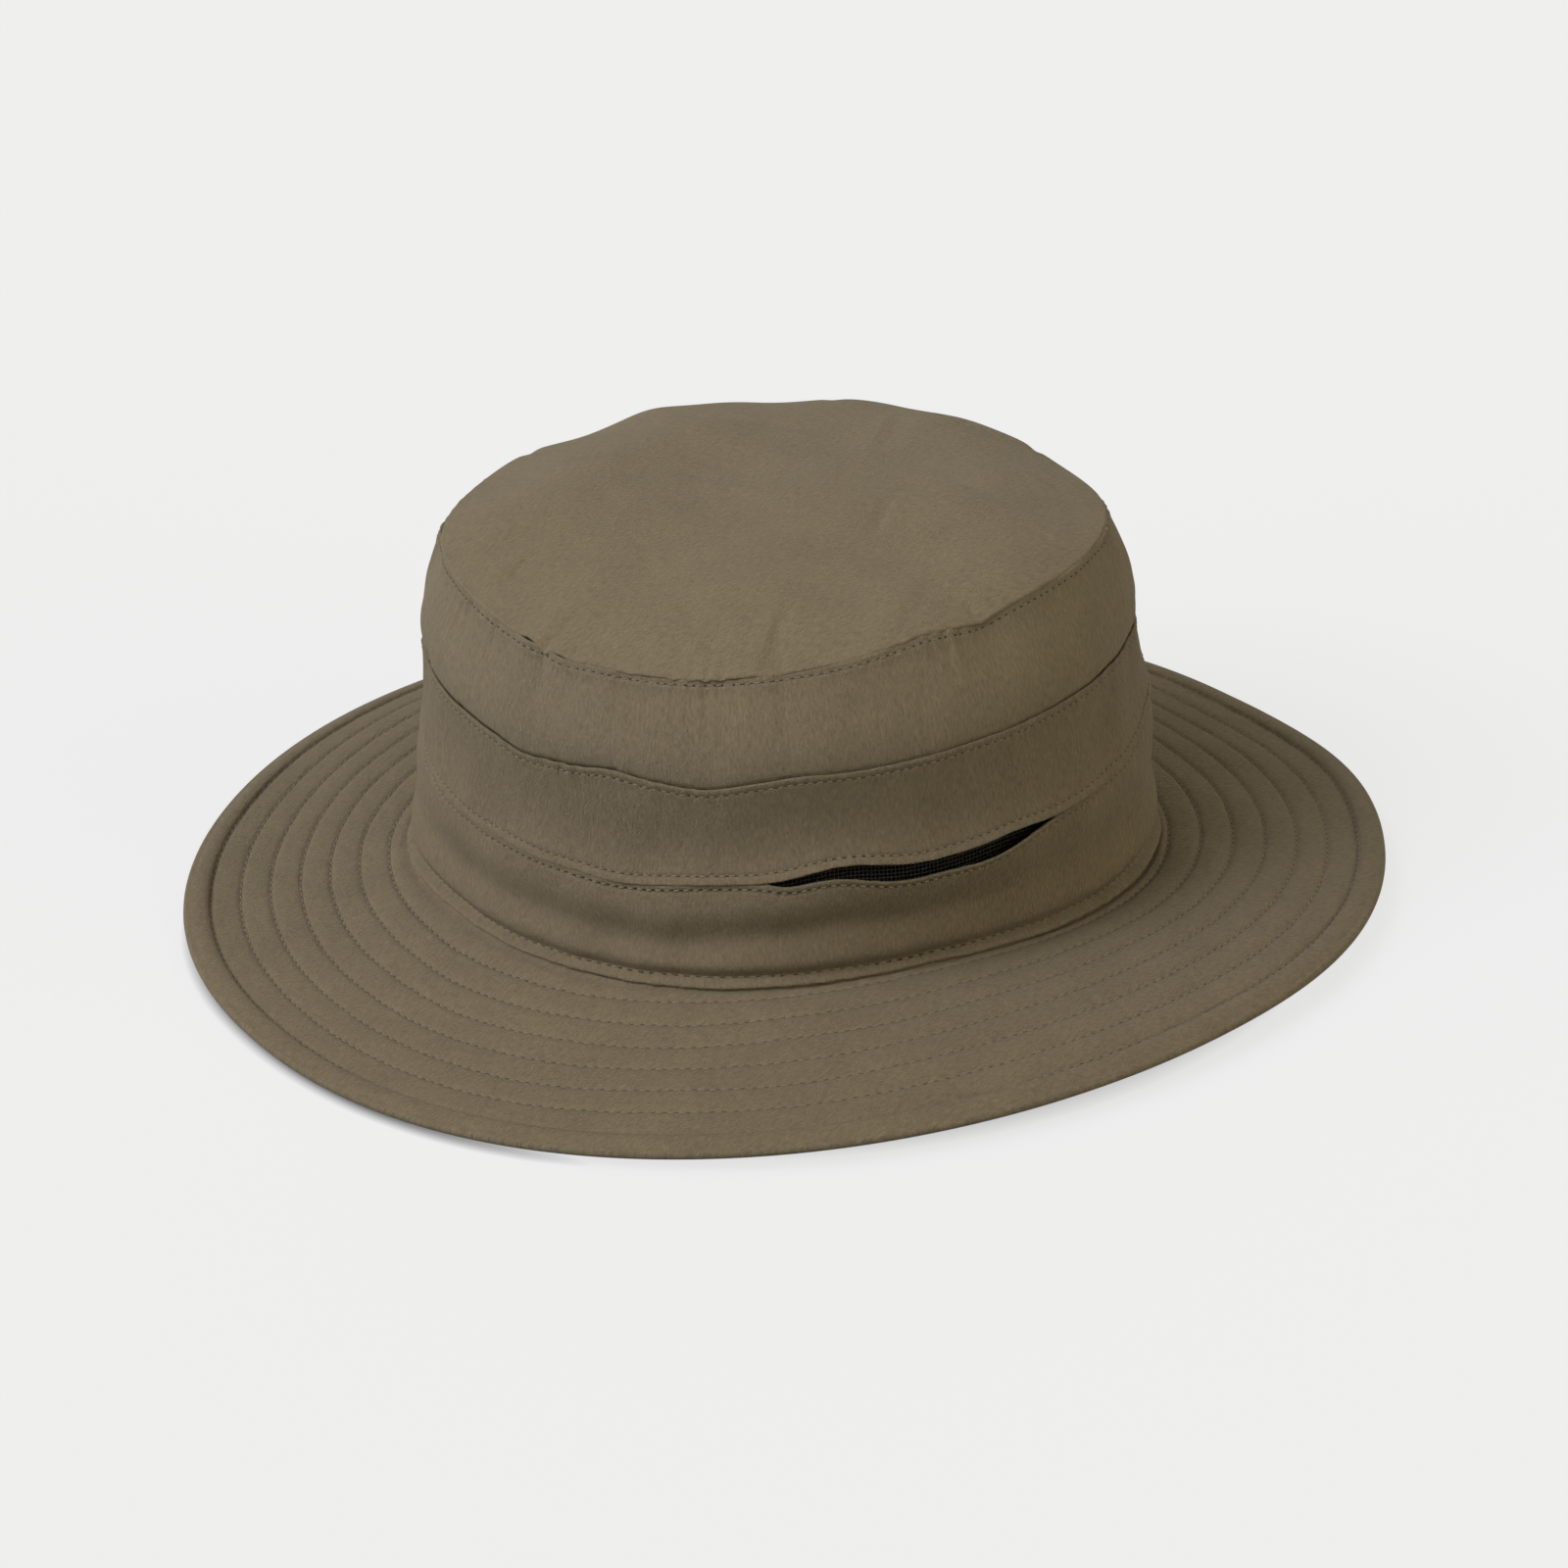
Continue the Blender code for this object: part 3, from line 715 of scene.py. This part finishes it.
# ---- brim --------------------------------------------------------------------------------------
def brim_relief(t, s, width):
    """Quilting between the stitch rows, in mm up."""
    value = -0.5 * ridge(s * width - 1.2, 0.9)
    for number in range(1, BRIM_ROWS + 1):
        off = (s - row_place(number)) * width
        value = value - 0.42 * ridge(off, 0.55) - 0.18 * ridge(off, 1.7)
    value = value + 0.05 * ripples(31, 40, (20, 90), (1.0, 8.0), t, s * width)
    return value + 0.12 * ripples(32, 24, (4, 16), (0.5, 3.0), t, s * width)


def row_place(number):
    return FIRST_ROW + (number - 1) * ROW_PITCH


def warp(t, s):
    """Shifts places across the brim: the first rows wander towards the crown and away from it."""
    drift = bumps(((-88.0, 28.0, 0.05), (-5.0, 38.0, -0.05), (60.0, 24.0, -0.042)), t)
    return s + drift * np.minimum(s / FIRST_ROW, 1.0) * (1.0 - s) ** 2


def brim_rows():
    """Places across the brim up to the last stitch row, close together at each groove."""
    inside = np.array((0.0, 0.045, 0.1, 0.2, 0.35, 0.5, 0.65, 0.8, 0.9, 0.955))
    before = [FIRST_ROW * q for q in inside]
    rows = [row_place(k) + q * ROW_PITCH for k in range(1, BRIM_ROWS) for q in inside]
    return np.array(before + rows + [row_place(BRIM_ROWS)])


def brim_top():
    t = columns(AROUND_BRIM)[None, :]
    s = brim_rows()[:, None]
    p = brim(t, warp(t, s))
    x, y = oval(EDGE, t)
    ix, iy = oval(BASE, t)
    width = np.hypot(x - ix, y - iy)
    p[..., 2] += brim_relief(t, s, width)
    q = np.array((0.05, 0.12, 0.22, 0.35, 0.5, 0.65, 0.78, 0.9, 1.0))[:, None]
    reach = 1.0 - HEM_RADIUS / width
    last = row_place(BRIM_ROWS)
    hem = brim(t, last + (reach - last) * q)
    hem[..., 2] += 0.75 * np.sin(math.pi * np.clip(q * 1.06, 0.0, 1.0)) ** 0.7 - 0.5 * ridge(q, 0.08)
    out = outward(t)
    core = brim(t, reach + 0.0 * t)[0]
    core = core - np.array((0.0, 0.0, HEM_RADIUS))
    rolled = []
    for angle in np.radians(np.arange(15.0, 181.0, 15.0)):
        rise = np.array((0.0, 0.0, HEM_RADIUS * math.cos(angle)))
        rolled.append(core + out[0] * HEM_RADIUS * math.sin(angle) + rise)
    back = []
    for step in (1.0, 3.0, 5.0, 7.0, HEM_RETURN):
        under = brim(t, reach - step / width, BRIM_THICKNESS)[0]
        share = step / HEM_RETURN
        under[..., 2] = under[..., 2] * share + rolled[-1][..., 2] * (1.0 - share)
        back.append(under)
    steps = ((1.6, 2.2), (1.5, 0.9), (0.8, 0.25))
    tuck = [p[0] - np.array((0.0, 0.0, drop)) - out[0] * inset for inset, drop in steps]
    rows = tuck + list(p) + list(hem) + rolled + back
    top = lay_cloth("brim_top_panel", np.array(rows), SHELL)
    plan_uv(top)
    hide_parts("brim_top")
    return p, s


def brim_underside():
    t = columns(AROUND)[None, :]
    x, y = oval(EDGE, t)
    ix, iy = oval(BASE, t)
    width = np.hypot(x - ix, y - iy)
    s = brim_rows()[:, None]
    s = np.concatenate([s, [[0.9], [0.94]]])[::-1]
    p = brim(t, warp(t, s), BRIM_THICKNESS - UNDER_CLOTH)
    p[..., 2] -= 0.6 * brim_relief(t, s, width)
    p[..., 2] = np.maximum(p[..., 2], UNDER_CLOTH)
    under = lay_cloth("brim_under_panel", p, UNDER)
    plan_uv(under)
    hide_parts("brim_underside")
    return p, s


def brim_stiffener():
    t = columns(AROUND // 2)[None, :]
    s = np.linspace(0.02, 0.955, 24)[:, None]
    foam = lay_cloth("brim_interlining", brim(t, s, 0.95), FOAM, thickness=0.7)
    plan_uv(foam)
    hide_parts("brim_stiffener")


def brim_stitching(top, top_s, under, under_s):
    above = surface_normals(top)
    below = surface_normals(under)
    for number in range(1, BRIM_ROWS + 1):
        row = int(np.argmin(np.abs(top_s[:, 0] - row_place(number))))
        other = int(np.argmin(np.abs(under_s[:, 0] - row_place(number))))
        up = above[row] if row < len(top) - 1 else above[row - 3]
        lines = [(top[row] + up * THREAD_LIFT, up),
                 (under[other] + below[other] * THREAD_LIFT, below[other])]
        stitch_run("brim_thread_%d" % number, "brim_stitch_row_%d" % number, lines)


# ---- inside ------------------------------------------------------------------------------------
def sweatband():
    t = columns(AROUND)[None, :]
    f = np.linspace(0.64, -0.05, 30)[:, None]
    t = np.broadcast_to(t, (len(f), AROUND))
    f = np.broadcast_to(f, t.shape)
    p = wall(0, t, np.clip(f, 0.0, 1.0), SWEATBAND_INSET)
    p[..., 2] += np.minimum(f, 0.0) * SWEATBAND_HEIGHT
    soft = 0.5 * ripples(41, 20, (3, 14), (0.5, 2.0), t, f * SWEATBAND_HEIGHT)
    p = p + outward(t) * (soft * f)[..., None]
    out = outward(columns(AROUND))
    up = np.array((0.0, 0.0, 1.0))
    inner = [row - out * SWEATBAND_THICKNESS for row in p[1:-1]]
    half = out * 0.5 * SWEATBAND_THICKNESS
    loop = [p[0] - half + up * 0.6] + inner + [p[-1] - half - up * 0.6]
    rows = np.array(list(p[1:-1][::-1]) + loop)
    band = lay_cloth("sweatband_knit_band", rows, SWEAT, thickness=0.0)
    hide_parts("sweatband")
    return rows


def seam_tape(name, replaced, low):
    t = columns(AROUND // 2)[None, :]
    height = wall_height(low, t)
    drops = np.array((1.2, 2.0, 4.0, 6.0, 8.0, 9.0))[:, None]
    p = wall(low, np.broadcast_to(t, (6, AROUND // 2)), 1.0 - drops / height, TAPE_INSET)
    tape = lay_cloth(name, p, TAPE, thickness=0.4)
    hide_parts(replaced)


def care_label():
    t = np.radians(np.linspace(83.0, 97.0, 24))[None, :]
    f = np.linspace(0.8, 0.1, 16)[:, None]
    t = np.broadcast_to(t, (16, 24))
    hang = 4.0 + 0.8 * np.sin(3.0 * f) + 0.3 * np.cos(20.0 * t)
    p = wall(1, t, np.broadcast_to(f, t.shape), hang)
    label = lay_cloth("blank_care_label", p, LABEL, thickness=0.3, wrap=False)
    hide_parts("care_label")


# ---- the studio --------------------------------------------------------------------------------
CAMERA_AZIMUTH = 60.0
CAMERA_ELEVATION = 26.0
CAMERA_DISTANCE = 2134.0
CAMERA_ROLL = -2.37
CAMERA_PIVOT = np.array((0.0, 0.0, 51.2))
CAMERA_AIM = (1.35, 18.9)     # how far right of and below the pivot the camera looks, in mm
LENS = 180.7
# broad soft lights: degrees left of the camera, degrees up, how tight the light is, and its colour;
# all but the last were fitted in another program and rounded, and so was the camera before it was adjusted
LAMPS = ((60.0, 40.0, 20.0, (9.0, 9.4, 10.4)), (90.0, 20.0, 20.0, (3.1, 2.8, 1.8)),
         (-60.0, 20.0, 20.0, (5.5, 5.1, 3.8)), (0.0, 90.0, 4.0, (0.36, 0.34, 0.31)),
         (180.0, 0.0, 3.0, (1.20, 1.15, 1.04)))
FLOOR_HALF = 6000.0
FLOOR_GLOW = 0.74            # the seamless floor's own light, under the little that falls on it


def studio():
    """The camera, the pale floor and the world's soft lamps."""
    scene = bpy.context.scene
    a = math.radians(CAMERA_AZIMUTH)
    e = math.radians(CAMERA_ELEVATION)
    back = np.array((math.sin(a) * math.cos(e), -math.cos(a) * math.cos(e), math.sin(e)))
    right = np.array((math.cos(a), math.sin(a), 0.0))
    up = np.cross(back, right)
    place = CAMERA_PIVOT + back * CAMERA_DISTANCE
    aim = CAMERA_PIVOT + right * CAMERA_AIM[0] - up * CAMERA_AIM[1]
    data = bpy.data.cameras.new("Camera")
    data.lens = LENS
    data.clip_start = 0.1
    camera = bpy.data.objects.new("Camera", data)
    scene.collection.objects.link(camera)
    camera.location = Vector(place * MM)
    look = Vector((aim - place).tolist()).to_track_quat("-Z", "Y")
    camera.rotation_mode = "QUATERNION"
    camera.rotation_quaternion = look @ Quaternion((0.0, 0.0, 1.0), math.radians(CAMERA_ROLL))
    scene.camera = camera

    corners = np.array(((-1.0, -1.0, 0.0), (1.0, -1.0, 0.0), (1.0, 1.0, 0.0), (-1.0, 1.0, 0.0)))
    floor = make_mesh("floor", corners * FLOOR_HALF, [(0, 1, 2, 3)])
    floor.location.z = -0.0002
    material, tree, shader = new_material("studio_floor", (0.12, 0.12, 0.12), 1.0)
    shader.inputs["Specular IOR Level"].default_value = 0.0
    # painted shade on the floor: ambient occlusion dims its glow within 3 mm of the hat, a painted contact
    # shadow, and the glow fades out between 155 and 125 mm from the middle, a painted shadow under the hat
    shade = node(tree, "ShaderNodeAmbientOcclusion", [("Distance", 0.003)], samples=16)
    place = node(tree, "ShaderNodeTexCoord").outputs["Object"]
    away = node(tree, "ShaderNodeVectorMath", [(0, place)], operation="LENGTH")
    clear = node(tree, "ShaderNodeMapRange",
                 [("Value", away.outputs["Value"]), ("From Min", 0.125), ("From Max", 0.155)])
    glow = node(tree, "ShaderNodeMath", [(0, shade.outputs["AO"]), (1, clear.outputs[0])],
                operation="MULTIPLY")
    glow = node(tree, "ShaderNodeMath", [(0, glow.outputs[0]), (1, FLOOR_GLOW)], operation="MULTIPLY")
    shader.inputs["Emission Color"].default_value = (1.0, 1.0, 1.0, 1.0)
    tree.links.new(glow.outputs[0], shader.inputs["Emission Strength"])
    floor.data.materials.append(material)
    floor.visible_diffuse = False

    world = bpy.data.worlds.new("studio_air")
    world.use_nodes = True
    tree = world.node_tree
    background = tree.nodes["Background"]
    heading = node(tree, "ShaderNodeTexCoord").outputs["Generated"]
    toward = np.array((math.sin(a), -math.cos(a), 0.0))
    total = None
    for left, height, tight, colour in LAMPS:
        level = toward * math.cos(math.radians(left)) - right * math.sin(math.radians(left))
        rise = math.radians(height)
        lamp = level * math.cos(rise) + np.array((0.0, 0.0, math.sin(rise)))
        facing = node(tree, "ShaderNodeVectorMath", [(0, heading), (1, tuple(lamp))],
                      operation="DOT_PRODUCT")
        lit = node(tree, "ShaderNodeMath", [(0, facing.outputs["Value"]), (1, 0.0)], operation="MAXIMUM")
        lit = node(tree, "ShaderNodeMath", [(0, lit.outputs[0]), (1, tight)], operation="POWER")
        glow = node(tree, "ShaderNodeVectorMath", [(0, colour), ("Scale", lit.outputs[0])], operation="SCALE")
        if total is not None:
            glow = node(tree, "ShaderNodeVectorMath", [(0, total.outputs[0]), (1, glow.outputs[0])],
                        operation="ADD")
        total = glow
    tree.links.new(total.outputs[0], background.inputs["Color"])
    scene.world = world
    scene.view_settings.view_transform = "Standard"


crown_tip()
upper_band()
middle_band()
lower_band()
vent_net("vent_net_left", "vent_mesh_left", 0.0)
vent_net("vent_net_right", "vent_mesh_right", 180.0)
top, top_s = brim_top()
under, under_s = brim_underside()
brim_stiffener()
brim_stitching(top, top_s, under, under_s)
band_rows = sweatband()
inward = -outward(columns(AROUND))
inner_line = (band_rows[-6] + inward * THREAD_LIFT, inward)
stitch_run("sweatband_thread", "sweatband_stitch", [inner_line])
seam_tape("tip_seam_binding", "tip_seam_tape", 2)
seam_tape("mid_seam_binding", "mid_seam_tape", 1)
care_label()
studio()
